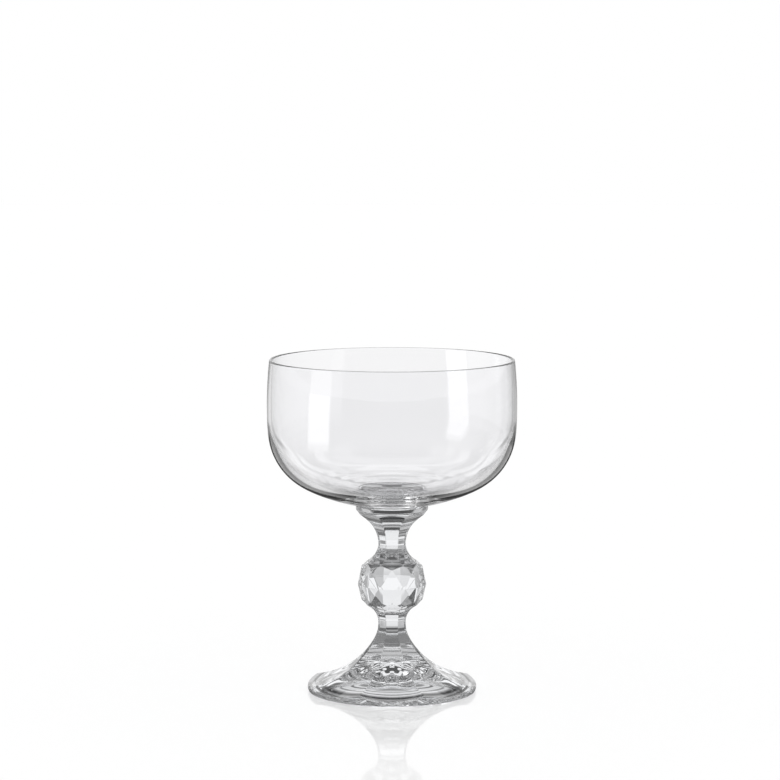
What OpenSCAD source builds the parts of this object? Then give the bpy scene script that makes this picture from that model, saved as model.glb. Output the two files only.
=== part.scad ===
// Coupe glass with a pressed, eight-sided stem. Millimetres, +Z up.
// The origin is on the table, in the middle of the foot.
// A blown bowl stands on a round collar. Below it the stem narrows to a waist, swells into a
// knop of eight diamonds, narrows again and flares out into a foot with eight faces.
// The pieces are fused, so each one meets the next face to face on a level plane.

/* [Overall] */
// Height of the glass from the table to the rim
glass_h = 133; // [129:0.5:139]

/* [Bowl] */
// Widest diameter of the bowl
bowl_d = 99.4; // [96:0.2:104]
// How far below the rim the bowl is widest
widest_drop = 18.75; // [15:0.25:22]
// Radius of the side wall's slight barrel curve, in section
side_r = 174; // [140:1:260]
// Radius of the turn from the side wall to the floor
corner_r = 26; // [24.5:0.5:27.5]
// Radius of the floor's curve on the outside
floor_r = 80; // [74:1:88]
// Thickness of the glass at the rim
rim_wall = 1.1; // [0.8:0.05:1.25]
// Thickness of the glass where the bowl is widest
side_wall = 1.26; // [1.26:0.02:1.6]
// Radius of the turn from side wall to floor on the inside
corner_in_r = 26; // [25:0.2:26.6]
// Radius of the floor's curve on the inside
floor_in_r = 90; // [84:1:96]
// Thickness of the glass in the middle of the floor
floor_wall = 3.6; // [3.2:0.1:4.4]
// Diameter of the flat pad that the bowl is fused on by
pad_d = 27.4; // [25:0.2:27.5]

/* [Collar] */
// Height of the collar's underside above the table
collar_z = 72.4; // [71:0.1:74]
// Diameter of the collar
collar_d = 28.7; // [28.7:0.1:31]
// Thickness of the collar
collar_t = 2.5; // [2.1:0.1:3.4]
// Rounding of the collar's upper edge
collar_top_round = 0.6; // [0.3:0.05:0.6]
// Rounding of the collar's lower edge
collar_low_round = 0.8; // [0.5:0.1:1]

/* [Upper stem] */
// Width of the upper waist across two opposite faces
upper_waist_w = 10.86; // [10:0.02:12]
// Height of the upper waist above the table
upper_waist_z = 59.05; // [58.2:0.05:60]
// Radius of the flare from the waist up to the collar
collar_flare_r = 13.7; // [12:0.1:15]
// Slope of that flare where it runs out straight, from upright
collar_flare_turn = 51; // [46:0.5:54]
// Radius of the flare where the waist starts to open down to the knop
shoulder_r = 8.2; // [7:0.1:9]
// Slope reached by that radius, from upright
shoulder_turn = 46; // [40:0.5:50]
// Radius of the flare next to the knop
shoulder_out_r = 13.8; // [11:0.1:16]
// Slope of the flare where it meets the knop, from upright
shoulder_out_turn = 60; // [56:0.5:62]

/* [Knop] */
// Height of the knop's girth, the middle of its diamonds, above the table
knop_z = 42.6; // [42:0.1:43.2]
// Width of the knop over the raised middles of two opposite diamonds
knop_d = 27.26; // [27.1:0.02:28]
// Width of the knop over the side corners of the diamonds
knop_side_d = 26.8; // [26.5:0.1:27]
// Height of the diamonds' upper half
knop_up = 7.6; // [7.5:0.1:7.7]
// Height of the diamonds' lower half
knop_down = 6.6; // [6.4:0.1:6.7]
// Width of the knop over the diamonds' top corners
knop_top_d = 24.2; // [24:0.1:24.6]
// Width of the knop over the diamonds' bottom corners
knop_low_d = 24.2; // [24:0.1:24.6]
// How far above the diamonds the knop meets the upper stem
knop_over = 1.7; // [1.6:0.1:2]
// How far below the diamonds the knop meets the lower stem
knop_under = 1.8; // [1.7:0.1:2.1]

/* [Lower stem] */
// Width of the lower waist across two opposite faces
lower_waist_w = 11; // [10:0.1:12]
// Height of the lower waist above the table
lower_waist_z = 27.2; // [26.4:0.1:27.6]
// Height of the upright stretch at the lower waist
lower_waist_h = 1.2; // [0.4:0.1:2]
// Radius of the flare from the waist up to the knop
cup_r = 7.4; // [6.6:0.1:8]
// Slope of that flare where it runs out straight, from upright
cup_turn = 54; // [50:0.5:56]
// Radius of the flare where the waist starts to open down to the foot
ankle_r = 14.1; // [13:0.1:15]
// Slope reached by that radius, from upright
ankle_turn = 29; // [25:0.5:33]

/* [Foot] */
// Diameter of the foot
foot_d = 67.5; // [64:0.5:70]
// Height above the table where the foot meets the lower stem
foot_join_z = 14; // [12:0.5:16]
// Radius of the long sweep of the foot's faces
sweep_r = 32.4; // [31:0.1:34]
// Slope of the faces where they run out straight to the edge, from upright
sweep_turn = 75.2; // [74:0.2:76.4]
// Radius of the rounded outer edge, in section
edge_r = 3; // [2.4:0.1:4]
// Height of the edge's widest ring above the table
edge_z = 1.55; // [1.2:0.05:1.8]
// Diameter of the hollow under the foot
hollow_d = 60.4; // [50:0.2:62]
// Height of the hollow under the foot
hollow_h = 7; // [5:0.1:8]

/* [Hidden] */
$fn = 180;

// The stem is eight-sided, with one face to the front
sides = 8;
face_turn = 360 / sides;
half_turn = face_turn / 2;
// Chords that stand for one arc of a section
arc_steps = 12;

// Levels at which the pieces meet
bowl_z = collar_z + collar_t;
knop_top_z = knop_z + knop_up + knop_over;
knop_low_z = knop_z - knop_down - knop_under;
// What cuts the stem reaches past the foot's edge, the widest thing that it cuts
reach = foot_d;

// Points of an arc about the middle m, from one direction to another
function arc(m, r, from, to) =
    [for (i = [0:arc_steps]) let (t = from + (to - from) * i / arc_steps) m + r * [cos(t), sin(t)]];

// All points but the last, where the next arc starts with it
function but_last(points) = [for (i = [0:len(points) - 2]) points[i]];

function reverse(points) = [for (i = [len(points) - 1:-1:0]) points[i]];

function direction(from, to) = atan2(to[1] - from[1], to[0] - from[0]);

// Middle of a circle of radius r that touches two larger circles from the inside
function touching(c1, r1, c3, r3, r) =
    let (gap = norm(c3 - c1), u = (c3 - c1) / gap,
         a = (pow(r1 - r, 2) - pow(r3 - r, 2) + gap * gap) / (2 * gap),
         b = sqrt(pow(r1 - r, 2) - a * a))
    c1 + a * u + b * [u[1], -u[0]];

// A bowl surface in section, from the level top down: a side arc that is widest, w out, at the
// level wide, then a corner arc, then a floor arc that would be lowest on the axis, at the level
// low. It ends end_w out from the axis.
function bowl_line(w, wide, side, corner, low, floor, top, end_w) =
    let (side_mid = [w - side, wide],
         floor_mid = [0, low + floor],
         corner_mid = touching(side_mid, side, floor_mid, floor, corner),
         side_end = direction(side_mid, corner_mid),
         corner_end = direction(floor_mid, corner_mid))
    concat(but_last(arc(side_mid, side, asin((top - wide) / side), side_end)),
           but_last(arc(corner_mid, corner, side_end, corner_end)),
           arc(floor_mid, floor, corner_end, -acos(end_w / floor)));

// A stem surface in section that starts upright at a point and opens outwards, up or down.
// Each arc is its radius and the slope that it turns to, and the end runs straight to reach.
function flare_line(p, up, arcs, i = 0, t = 0) =
    i == len(arcs)
    ? [p, p + reach * [sin(t), up * cos(t)]]
    : let (r = arcs[i][0], turn = arcs[i][1], m = p + r * [cos(t), -up * sin(t)],
           points = arc(m, r, 180 - up * t, 180 - up * turn))
      concat(but_last(points), flare_line(points[arc_steps], up, arcs, i + 1, turn));

// Flare lines above and below the upper waist
function collar_flare() =
    flare_line([upper_waist_w / 2, upper_waist_z], 1, [[collar_flare_r, collar_flare_turn]]);
function shoulder_flare() =
    flare_line([upper_waist_w / 2, upper_waist_z], -1,
               [[shoulder_r, shoulder_turn], [shoulder_out_r, shoulder_out_turn]]);

// Flare lines above and below the lower waist
function cup_flare() =
    flare_line([lower_waist_w / 2, lower_waist_z + lower_waist_h / 2], 1, [[cup_r, cup_turn]]);
function ankle_flare() =
    flare_line([lower_waist_w / 2, lower_waist_z - lower_waist_h / 2], -1,
               [[ankle_r, ankle_turn], [sweep_r, sweep_turn]]);

// Cuts eight flat faces outside a line in section, given from the bottom up
module cut_faces(line) {
    far = reach * 2;
    for (i = [0:sides - 1])
        rotate([90, 0, i * face_turn])
            linear_extrude(reach * 2, center = true)
                polygon(concat([[far, line[0][1]]], line, [[far, line[len(line) - 1][1]]]));
}

// A round blank between two levels
module blank(low, high, r) {
    translate([0, 0, low])
        cylinder(high - low, r, r);
}

module bowl() {
    widest_z = glass_h - widest_drop;
    rim_r = rim_wall / 2;
    lip_z = glass_h - rim_r;
    drop = lip_z - widest_z;
    outer_r = bowl_d / 2;
    outer_low = bowl_z - (floor_r - sqrt(floor_r * floor_r - pow(pad_d / 2, 2)));
    outer_in = side_r - sqrt(side_r * side_r - drop * drop);
    inner_in = outer_in + rim_wall - side_wall;
    inner_side_r = (drop * drop + inner_in * inner_in) / (2 * inner_in);
    outside = bowl_line(outer_r, widest_z, side_r, corner_r, outer_low, floor_r, lip_z, pad_d / 2);
    inside = bowl_line(outer_r - side_wall, widest_z, inner_side_r, corner_in_r,
                       outer_low + floor_wall, floor_in_r, lip_z, 0);
    rim = arc([outside[0][0] - rim_r, lip_z], rim_r, 180, 0);
    color("gainsboro", 0.5)
        rotate_extrude()
            polygon(concat(but_last(rim), outside, [[0, bowl_z]], but_last(reverse(inside))));
}

module collar() {
    r = collar_d / 2;
    low_edge = arc([r - collar_low_round, collar_z + collar_low_round], collar_low_round, -90, 0);
    top_edge = arc([r - collar_top_round, bowl_z - collar_top_round], collar_top_round, 0, 90);
    color("lightgray", 0.6)
        rotate_extrude()
            polygon(concat([[0, collar_z]], low_edge, top_edge, [[0, bowl_z]]));
}

module upper_stem() {
    color("whitesmoke", 0.6)
        difference() {
            blank(knop_top_z, collar_z, collar_d / 2 - collar_low_round);
            cut_faces(concat(reverse(shoulder_flare()), collar_flare()));
        }
}

// Eight points round the axis on a circle of diameter d, from the azimuth start
function ring(d, z, start) =
    [for (i = [0:sides - 1]) [d / 2 * cos(start + i * face_turn), d / 2 * sin(start + i * face_turn), z]];

// Width over the corners where the planes of the knop's outer triangles reach another level.
// Each plane holds two corners of width corner_d, corner_h away from the side corners.
function triangle_d(corner_d, corner_h, over) =
    let (middle_d = corner_d * cos(half_turn))
    (middle_d + (middle_d - knop_side_d) * over / corner_h) / cos(half_turn);

// The knop before its necks are cut: eight raised diamonds with triangles above and below
module knop_stone() {
    points = concat(
        ring(triangle_d(knop_top_d, knop_up, knop_over), knop_top_z, 0),
        ring(knop_top_d, knop_z + knop_up, 0),
        ring(knop_d, knop_z, 0),
        ring(knop_side_d, knop_z, half_turn),
        ring(knop_low_d, knop_z - knop_down, 0),
        ring(triangle_d(knop_low_d, knop_down, knop_under), knop_low_z, 0));
    faces = concat(
        [[for (i = [sides - 1:-1:0]) i]],
        [for (i = [0:sides - 1]) let (j = (i + 1) % sides) each [
            [i, j, sides + j, 3 * sides + i, sides + i],
            [sides + i, 3 * sides + i, 2 * sides + i],
            [sides + j, 2 * sides + j, 3 * sides + i],
            [2 * sides + i, 3 * sides + i, 4 * sides + i],
            [2 * sides + j, 4 * sides + j, 3 * sides + i],
            [5 * sides + i, 4 * sides + i, 3 * sides + i, 4 * sides + j, 5 * sides + j]]],
        [[for (i = [0:sides - 1]) 5 * sides + i]]);
    polyhedron(points, faces);
}

module knop() {
    color("aliceblue", 0.6)
        difference() {
            knop_stone();
            cut_faces(reverse(shoulder_flare()));
            cut_faces(cup_flare());
        }
}

module lower_stem() {
    color("whitesmoke", 0.6)
        difference() {
            blank(foot_join_z, knop_low_z, foot_d / 2);
            cut_faces(concat(reverse(ankle_flare()), cup_flare()));
        }
}

module foot() {
    edge_mid = [foot_d / 2 - edge_r, edge_z];
    edge = arc(edge_mid, edge_r, -asin(edge_z / edge_r), 90);
    hollow_r = (pow(hollow_d / 2, 2) + hollow_h * hollow_h) / (2 * hollow_h);
    color("gainsboro", 0.6)
        difference() {
            rotate_extrude()
                polygon(concat([[0, 0]], edge, [[edge_mid[0], foot_join_z], [0, foot_join_z]]));
            cut_faces(reverse(ankle_flare()));
            translate([0, 0, hollow_h - hollow_r])
                sphere(hollow_r);
        }
}

bowl();
collar();
upper_stem();
knop();
lower_stem();
foot();
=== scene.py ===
"""Looks of a coupe glass: a blown bowl on a pressed, eight-sided stem and foot.

Every piece stands for one CAD node and keeps its place. Sizes of the glass are in millimetres,
with the origin on the table in the middle of the foot and one flat face of the stem to the front.
"""

import logging
import math
from collections.abc import Callable, Sequence
from dataclasses import dataclass, replace
from enum import Enum
from functools import partial

import bpy
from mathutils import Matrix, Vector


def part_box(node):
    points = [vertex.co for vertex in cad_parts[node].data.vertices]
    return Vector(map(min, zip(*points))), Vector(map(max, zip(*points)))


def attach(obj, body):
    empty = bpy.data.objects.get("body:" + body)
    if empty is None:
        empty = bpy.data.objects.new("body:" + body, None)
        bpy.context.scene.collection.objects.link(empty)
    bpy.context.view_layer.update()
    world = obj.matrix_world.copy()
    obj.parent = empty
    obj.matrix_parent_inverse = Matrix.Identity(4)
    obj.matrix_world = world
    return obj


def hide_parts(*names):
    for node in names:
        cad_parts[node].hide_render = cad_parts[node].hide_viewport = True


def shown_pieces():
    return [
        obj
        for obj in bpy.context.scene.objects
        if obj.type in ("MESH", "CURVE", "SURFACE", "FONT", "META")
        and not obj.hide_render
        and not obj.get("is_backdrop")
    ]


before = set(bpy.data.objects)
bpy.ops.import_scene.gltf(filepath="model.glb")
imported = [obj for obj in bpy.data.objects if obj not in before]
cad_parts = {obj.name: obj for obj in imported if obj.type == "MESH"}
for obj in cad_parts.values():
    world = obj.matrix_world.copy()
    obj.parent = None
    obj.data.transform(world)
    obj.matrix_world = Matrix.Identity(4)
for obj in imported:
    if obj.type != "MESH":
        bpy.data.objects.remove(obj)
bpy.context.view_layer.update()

MM = 0.001
SIDES = 8
FACE_TURN = math.tau / SIDES
HALF_TURN = FACE_TURN / 2
HALVINGS = 48  # How often a search halves its range, past the last bit that counts.
SAMPLES = 400  # Short stretches in which the length of a flare is summed up.
HAIR = 0.001  # A length, in millimetres, that is too short to show.
NEAR = (0.0, 0.25, 0.55, 1.0)  # Where the close values lie in a guard, as shares of its width.
ONCE = 0.5  # A threshold between no bounce of light and one.
log = logging.getLogger("coupe")

Point = tuple[float, float]


def linear(code: str) -> tuple[float, float, float, float]:
    """Turns an sRGB hex colour into linear light.

    Args:
        code: The colour as "#rrggbb".

    Returns:
        Red, green, blue and a full alpha.
    """
    parts = [int(code[i : i + 2], 16) / 255 for i in (1, 3, 5)]
    light = [c / 12.92 if c <= 0.04045 else ((c + 0.055) / 1.055) ** 2.4 for c in parts]
    return light[0], light[1], light[2], 1.0


WHITE = linear("#ffffff")


def add_node(tree: bpy.types.NodeTree, kind: str, inputs: dict | None = None, **settings) -> bpy.types.Node:
    """Adds one node to a tree.

    Args:
        tree: The tree it goes in.
        kind: Blender's name of the node type.
        inputs: Values for its inputs, or output sockets to link to them, by name or number.
        **settings: The node's own properties.

    Returns:
        The new node.
    """
    node = tree.nodes.new(kind)
    for name, value in settings.items():
        setattr(node, name, value)
    for name, value in (inputs or {}).items():
        if isinstance(value, bpy.types.NodeSocket):
            tree.links.new(value, node.inputs[name])
        else:
            node.inputs[name].default_value = value
    return node


def soft_min(a: float, b: float, width: float) -> float:
    """The smaller of two lengths, with the crease between them rounded off over a width > 0."""
    share = max(width - abs(a - b), 0) / width
    return min(a, b) - share * share * width / 4


def solve(wanted: Callable[[float], float], low: float, high: float) -> float:
    """Finds where a rule crosses zero.

    Args:
        wanted: The rule, below zero at one end and above zero at the other.
        low: One end.
        high: The other end.

    Returns:
        The value at which the rule is zero.
    """
    start = wanted(low) > 0
    for _ in range(HALVINGS):
        middle = (low + high) / 2
        if (wanted(middle) > 0) == start:
            low = middle
        else:
            high = middle
    return (low + high) / 2


def spread(start: float, end: float, steps: int) -> list[float]:
    """Even values from start to end, both included."""
    return [start + (end - start) * i / steps for i in range(steps + 1)]


def guarded(start: float, end: float, steps: int, guard: float) -> list[float]:
    """Values from start to end with close ones at both ends, where a rounded crease needs them.

    Args:
        start: The first value.
        end: The last value.
        steps: How many even steps lie between the guards.
        guard: The width of the rounding on either side of a crease.

    Returns:
        The values, the same number of them whatever the distance.
    """
    way = end - start
    near = math.copysign(min(guard, abs(way) / 4), way)
    head = [start + near * s for s in NEAR]
    tail = [end - near * s for s in reversed(NEAR)]
    return head + spread(head[-1], tail[0], steps)[1:-1] + tail


class Way(Enum):
    """Which way a face opens out."""

    UP = 1
    DOWN = -1


@dataclass(frozen=True)
class Flare:
    """A face of the stem in section: upright at a waist, then opening out along arcs.

    Args:
        half: Distance of the face from the axis at the waist.
        start: Level at which it starts to open.
        way: Whether it opens upwards or downwards.
        arcs: Each arc's radius and the slope from upright, in degrees, that it turns to.
    """

    half: float
    start: float
    way: Way
    arcs: tuple[Point, ...]

    def out(self, z: float) -> float:
        """The face's distance from the axis.

        Args:
            z: A level.

        Returns:
            The distance there.
        """
        rise = self.way.value * (z - self.start)
        if rise <= 0:
            return self.half
        x, sine, cosine = self.half, 0.0, 1.0
        for radius, turn in self.arcs:
            end = math.radians(turn)
            reach = radius * (math.sin(end) - sine)
            if rise <= reach:
                return x + radius * (cosine - math.sqrt(1 - (sine + rise / radius) ** 2))
            x += radius * (cosine - math.cos(end))
            rise -= reach
            sine, cosine = math.sin(end), math.cos(end)
        return x + rise * sine / cosine

    def level(self, out: float) -> float:
        """The other way round: where the face is that far from the axis.

        Args:
            out: A distance from the axis.

        Returns:
            The level.
        """
        x, rise, sine, cosine = self.half, 0.0, 0.0, 1.0
        if out <= x:
            return self.start
        for radius, turn in self.arcs:
            end = math.radians(turn)
            wide = radius * (cosine - math.cos(end))
            if out <= x + wide:
                now = cosine - (out - x) / radius
                return self.start + self.way.value * (rise + radius * (math.sqrt(1 - now * now) - sine))
            x += wide
            rise += radius * (math.sin(end) - sine)
            sine, cosine = math.sin(end), math.cos(end)
        return self.start + self.way.value * (rise + (out - x) * cosine / sine)

    def levels(self, low: float, high: float, steps: int) -> list[float]:
        """Levels at even distances along the face.

        Args:
            low: The first level.
            high: The last level, above or below it.
            steps: How many steps lie between them.

        Returns:
            The levels, closer together where the face leans over more.
        """
        samples = spread(low, high, SAMPLES)
        run = [0.0]
        for a, b in zip(samples, samples[1:]):
            run.append(run[-1] + math.hypot(b - a, self.out(b) - self.out(a)))
        found, at = [], 0
        for target in spread(0.0, run[-1], steps):
            while at < SAMPLES - 1 and run[at + 1] < target:
                at += 1
            part = (target - run[at]) / (run[at + 1] - run[at])
            found.append(samples[at] + (samples[at + 1] - samples[at]) * min(max(part, 0.0), 1.0))
        return found


# The arcs over the knop and under it, which are cut partly into the knop and partly into the stem.
SHOULDER = Flare(5.43, 59.05, Way.DOWN, ((8.2, 46.0), (13.8, 60.0)))
CUP = Flare(5.5, 27.8, Way.UP, ((7.4, 54.0),))


@dataclass
class Panel:
    """One eighth of a stem piece, from the middle of its top to the middle of its underside.

    Args:
        angles: Azimuth of each column, from the middle of the face.
        columns: The points of each column, as radius and level.
        fused: The bands, by number from the top, that are fused to a neighbour.
    """

    angles: list[float]
    columns: list[list[Point]]
    fused: set[int]

    def mesh(self, name: str) -> bpy.types.Mesh:
        """Makes the panel's mesh, with its face to the front and the fused faces marked.

        Args:
            name: The mesh's name.

        Returns:
            The mesh, open at both sides.
        """
        rows = len(self.columns[0])
        points, faces, marks = [], [], []
        for angle, column in zip(self.angles, self.columns):
            for r, z in column:
                points.append((r * math.sin(angle) * MM, -r * math.cos(angle) * MM, z * MM))
        for c in range(len(self.columns) - 1):
            for i in range(rows - 1):
                a, b = c * rows + i, (c + 1) * rows + i
                faces.append((a, a + 1, b + 1, b))
                marks.append(i in self.fused)
        mesh = bpy.data.meshes.new(name)
        mesh.from_pydata(points, [], faces)
        mark = mesh.attributes.new("fused", "BOOLEAN", "FACE")
        mark.data.foreach_set("value", marks)
        return mesh


class Repeat:
    """Geometry Nodes trees for what follows a rule: eight equal panels, and turned pieces."""

    @staticmethod
    def _begin(name: str, count: str) -> tuple[bpy.types.NodeTree, bpy.types.Node]:
        """Starts a tree with its named inputs.

        Args:
            name: The tree's name.
            count: Name of the input that says how many panels or steps there are.

        Returns:
            The tree and its input node.
        """
        tree = bpy.data.node_groups.new(name, "GeometryNodeTree")
        kinds = {"Geometry": "Geometry", count: "Int", "Weld": "Float"}
        kinds |= {"Glass": "Material", "Joint": "Material"}
        for label, kind in kinds.items():
            tree.interface.new_socket(label, in_out="INPUT", socket_type="NodeSocket" + kind)
        tree.interface.new_socket("Geometry", in_out="OUTPUT", socket_type="NodeSocketGeometry")
        return tree, add_node(tree, "NodeGroupInput")

    @staticmethod
    def _end(tree: bpy.types.NodeTree, start: bpy.types.Node, shape: bpy.types.NodeSocket) -> None:
        """Ends a tree: real geometry, glass all over, and the joint's material on fused faces.

        Args:
            tree: The tree.
            start: Its input node.
            shape: The geometry so far.
        """
        real = add_node(tree, "GeometryNodeRealizeInstances", {"Geometry": shape})
        weld = add_node(
            tree,
            "GeometryNodeMergeByDistance",
            {"Geometry": real.outputs[0], "Distance": start.outputs["Weld"]},
        )
        smooth = add_node(
            tree, "GeometryNodeSetShadeSmooth", {"Geometry": weld.outputs[0], "Shade Smooth": True}
        )
        glass = add_node(
            tree,
            "GeometryNodeSetMaterial",
            {"Geometry": smooth.outputs[0], "Material": start.outputs["Glass"]},
        )
        fused = add_node(tree, "GeometryNodeInputNamedAttribute", {"Name": "fused"}, data_type="BOOLEAN")
        joint = add_node(
            tree,
            "GeometryNodeSetMaterial",
            {
                "Geometry": glass.outputs[0],
                "Selection": fused.outputs["Attribute"],
                "Material": start.outputs["Joint"],
            },
        )
        add_node(tree, "NodeGroupOutput", {"Geometry": joint.outputs[0]})

    @classmethod
    def panels(cls) -> bpy.types.NodeTree:
        """Makes the tree that sets a panel round the axis as often as the stem has sides.

        Returns:
            The tree.
        """
        tree, start = cls._begin("Panels round the axis", "Sides")
        spots = add_node(tree, "GeometryNodePoints", {"Count": start.outputs["Sides"]})
        index = add_node(tree, "GeometryNodeInputIndex")
        step = add_node(tree, "ShaderNodeMath", {0: math.tau, 1: start.outputs["Sides"]}, operation="DIVIDE")
        angle = add_node(
            tree, "ShaderNodeMath", {0: index.outputs[0], 1: step.outputs[0]}, operation="MULTIPLY"
        )
        turn = add_node(tree, "ShaderNodeCombineXYZ", {"Z": angle.outputs[0]})
        placed = add_node(
            tree,
            "GeometryNodeInstanceOnPoints",
            {"Points": spots.outputs[0], "Instance": start.outputs["Geometry"], "Rotation": turn.outputs[0]},
        )
        cls._end(tree, start, placed.outputs[0])
        return tree

    @classmethod
    def turned(cls) -> bpy.types.NodeTree:
        """Makes the tree that turns a section, given as a line of points, into a closed skin.

        Returns:
            The tree.
        """
        tree, start = cls._begin("Section turned round the axis", "Steps")
        size = add_node(tree, "GeometryNodeAttributeDomainSize", {"Geometry": start.outputs["Geometry"]})
        count = size.outputs["Point Count"]
        rounds = add_node(tree, "ShaderNodeMath", {0: start.outputs["Steps"], 1: 1.0}, operation="ADD")
        grid = add_node(tree, "GeometryNodeMeshGrid", {"Vertices X": rounds.outputs[0], "Vertices Y": count})
        index = add_node(tree, "GeometryNodeInputIndex")
        row = add_node(tree, "ShaderNodeMath", {0: index.outputs[0], 1: count}, operation="MODULO")
        share = add_node(tree, "ShaderNodeMath", {0: index.outputs[0], 1: count}, operation="DIVIDE")
        whole = add_node(tree, "ShaderNodeMath", {0: share.outputs[0]}, operation="FLOOR")
        step = add_node(tree, "ShaderNodeMath", {0: math.tau, 1: start.outputs["Steps"]}, operation="DIVIDE")
        angle = add_node(
            tree, "ShaderNodeMath", {0: whole.outputs[0], 1: step.outputs[0]}, operation="MULTIPLY"
        )
        place = add_node(tree, "GeometryNodeInputPosition")
        section = add_node(
            tree,
            "GeometryNodeSampleIndex",
            {"Geometry": start.outputs["Geometry"], "Value": place.outputs[0], "Index": row.outputs[0]},
            data_type="FLOAT_VECTOR",
        )
        spun = add_node(
            tree,
            "ShaderNodeVectorRotate",
            {"Vector": section.outputs[0], "Angle": angle.outputs[0]},
            rotation_type="Z_AXIS",
        )
        mark = add_node(tree, "GeometryNodeInputNamedAttribute", {"Name": "fused"}, data_type="BOOLEAN")
        marked = add_node(
            tree,
            "GeometryNodeSampleIndex",
            {
                "Geometry": start.outputs["Geometry"],
                "Value": mark.outputs["Attribute"],
                "Index": row.outputs[0],
            },
            data_type="BOOLEAN",
        )
        shaped = add_node(
            tree,
            "GeometryNodeSetPosition",
            {"Geometry": grid.outputs[0], "Position": spun.outputs[0]},
        )
        kept = add_node(
            tree,
            "GeometryNodeStoreNamedAttribute",
            {"Geometry": shaped.outputs[0], "Name": "fused", "Value": marked.outputs[0]},
            data_type="BOOLEAN",
            domain="POINT",
        )
        outward = add_node(tree, "GeometryNodeFlipFaces", {"Mesh": kept.outputs[0]})
        cls._end(tree, start, outward.outputs[0])
        return tree


@dataclass(frozen=True)
class ClearGlass:
    """Clear soda-lime glass.

    It gives the eye little but bent light: bright where it shows the white room behind it, dark
    where a steep surface turns the view to the unlit part of the room.

    Args:
        name: Name of the material.
        tint: What a surface lets through, as an sRGB hex colour.
        ior: Index of refraction.
        ripple_width: Width of the faint ripples left by the making, in millimetres.
        ripple_depth: Depth of those ripples, in millimetres.
        shade: What the glass lets through to its shadow, as an sRGB hex colour.
        ripple_detail: How many finer waves lie on the ripples.
        ripple_rough: How strong those are.
    """

    name: str
    tint: str
    ior: float
    ripple_width: float
    ripple_depth: float
    shade: str
    ripple_detail: float = 1.0
    ripple_rough: float = 0.4

    def material(self) -> bpy.types.Material:
        """Builds the material's nodes.

        Returns:
            The material.
        """
        made = bpy.data.materials.new(self.name)
        made.use_nodes = True
        tree = made.node_tree
        tree.nodes.clear()
        place = add_node(tree, "ShaderNodeTexCoord")
        ripple = add_node(
            tree,
            "ShaderNodeTexNoise",
            {
                "Vector": place.outputs["Object"],
                "Scale": 1 / (self.ripple_width * MM),
                "Detail": self.ripple_detail,
                "Roughness": self.ripple_rough,
            },
        )
        bump = add_node(
            tree,
            "ShaderNodeBump",
            {"Height": ripple.outputs[0], "Strength": 1.0, "Distance": self.ripple_depth * MM},
        )
        glass = add_node(
            tree,
            "ShaderNodeBsdfPrincipled",
            {
                "Base Color": linear(self.tint),
                "Roughness": 0.0,
                "IOR": self.ior,
                "Transmission Weight": 1.0,
                "Normal": bump.outputs[0],
            },
        )
        clear = add_node(tree, "ShaderNodeBsdfTransparent", {"Color": linear(self.shade)})
        path = add_node(tree, "ShaderNodeLightPath")
        mixed = add_node(
            tree,
            "ShaderNodeMixShader",
            {0: path.outputs["Is Shadow Ray"], 1: glass.outputs[0], 2: clear.outputs[0]},
        )
        add_node(tree, "ShaderNodeOutputMaterial", {"Surface": mixed.outputs[0]})
        return made


@dataclass(frozen=True)
class FusedJoint:
    """Where two pieces of hot glass were fused: nothing shows there, so light passes straight on.

    Args:
        name: Name of the material.
    """

    name: str = "Fused glass joint"

    def material(self) -> bpy.types.Material:
        """Builds the material's nodes.

        Returns:
            The material.
        """
        made = bpy.data.materials.new(self.name)
        made.use_nodes = True
        shader = made.node_tree.nodes["Principled BSDF"]
        shader.inputs["Base Color"].default_value = WHITE
        shader.inputs["Alpha"].default_value = 0.0
        made.surface_render_method = "BLENDED"
        return made


# The blown bowl has long, faint ripples, and its thin wall hardly darkens what is behind it.
BLOWN = ClearGlass("Blown soda-lime glass", "#fdfdfe", 1.51, 14.0, 0.004, "#f2f4f5")
# The pressed stem keeps shorter ripples from its mould, and its thick glass is a shade cooler.
PRESSED = ClearGlass("Pressed fire-polished glass", "#fafbfd", 1.52, 3.2, 0.004, "#e9ecee")


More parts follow.
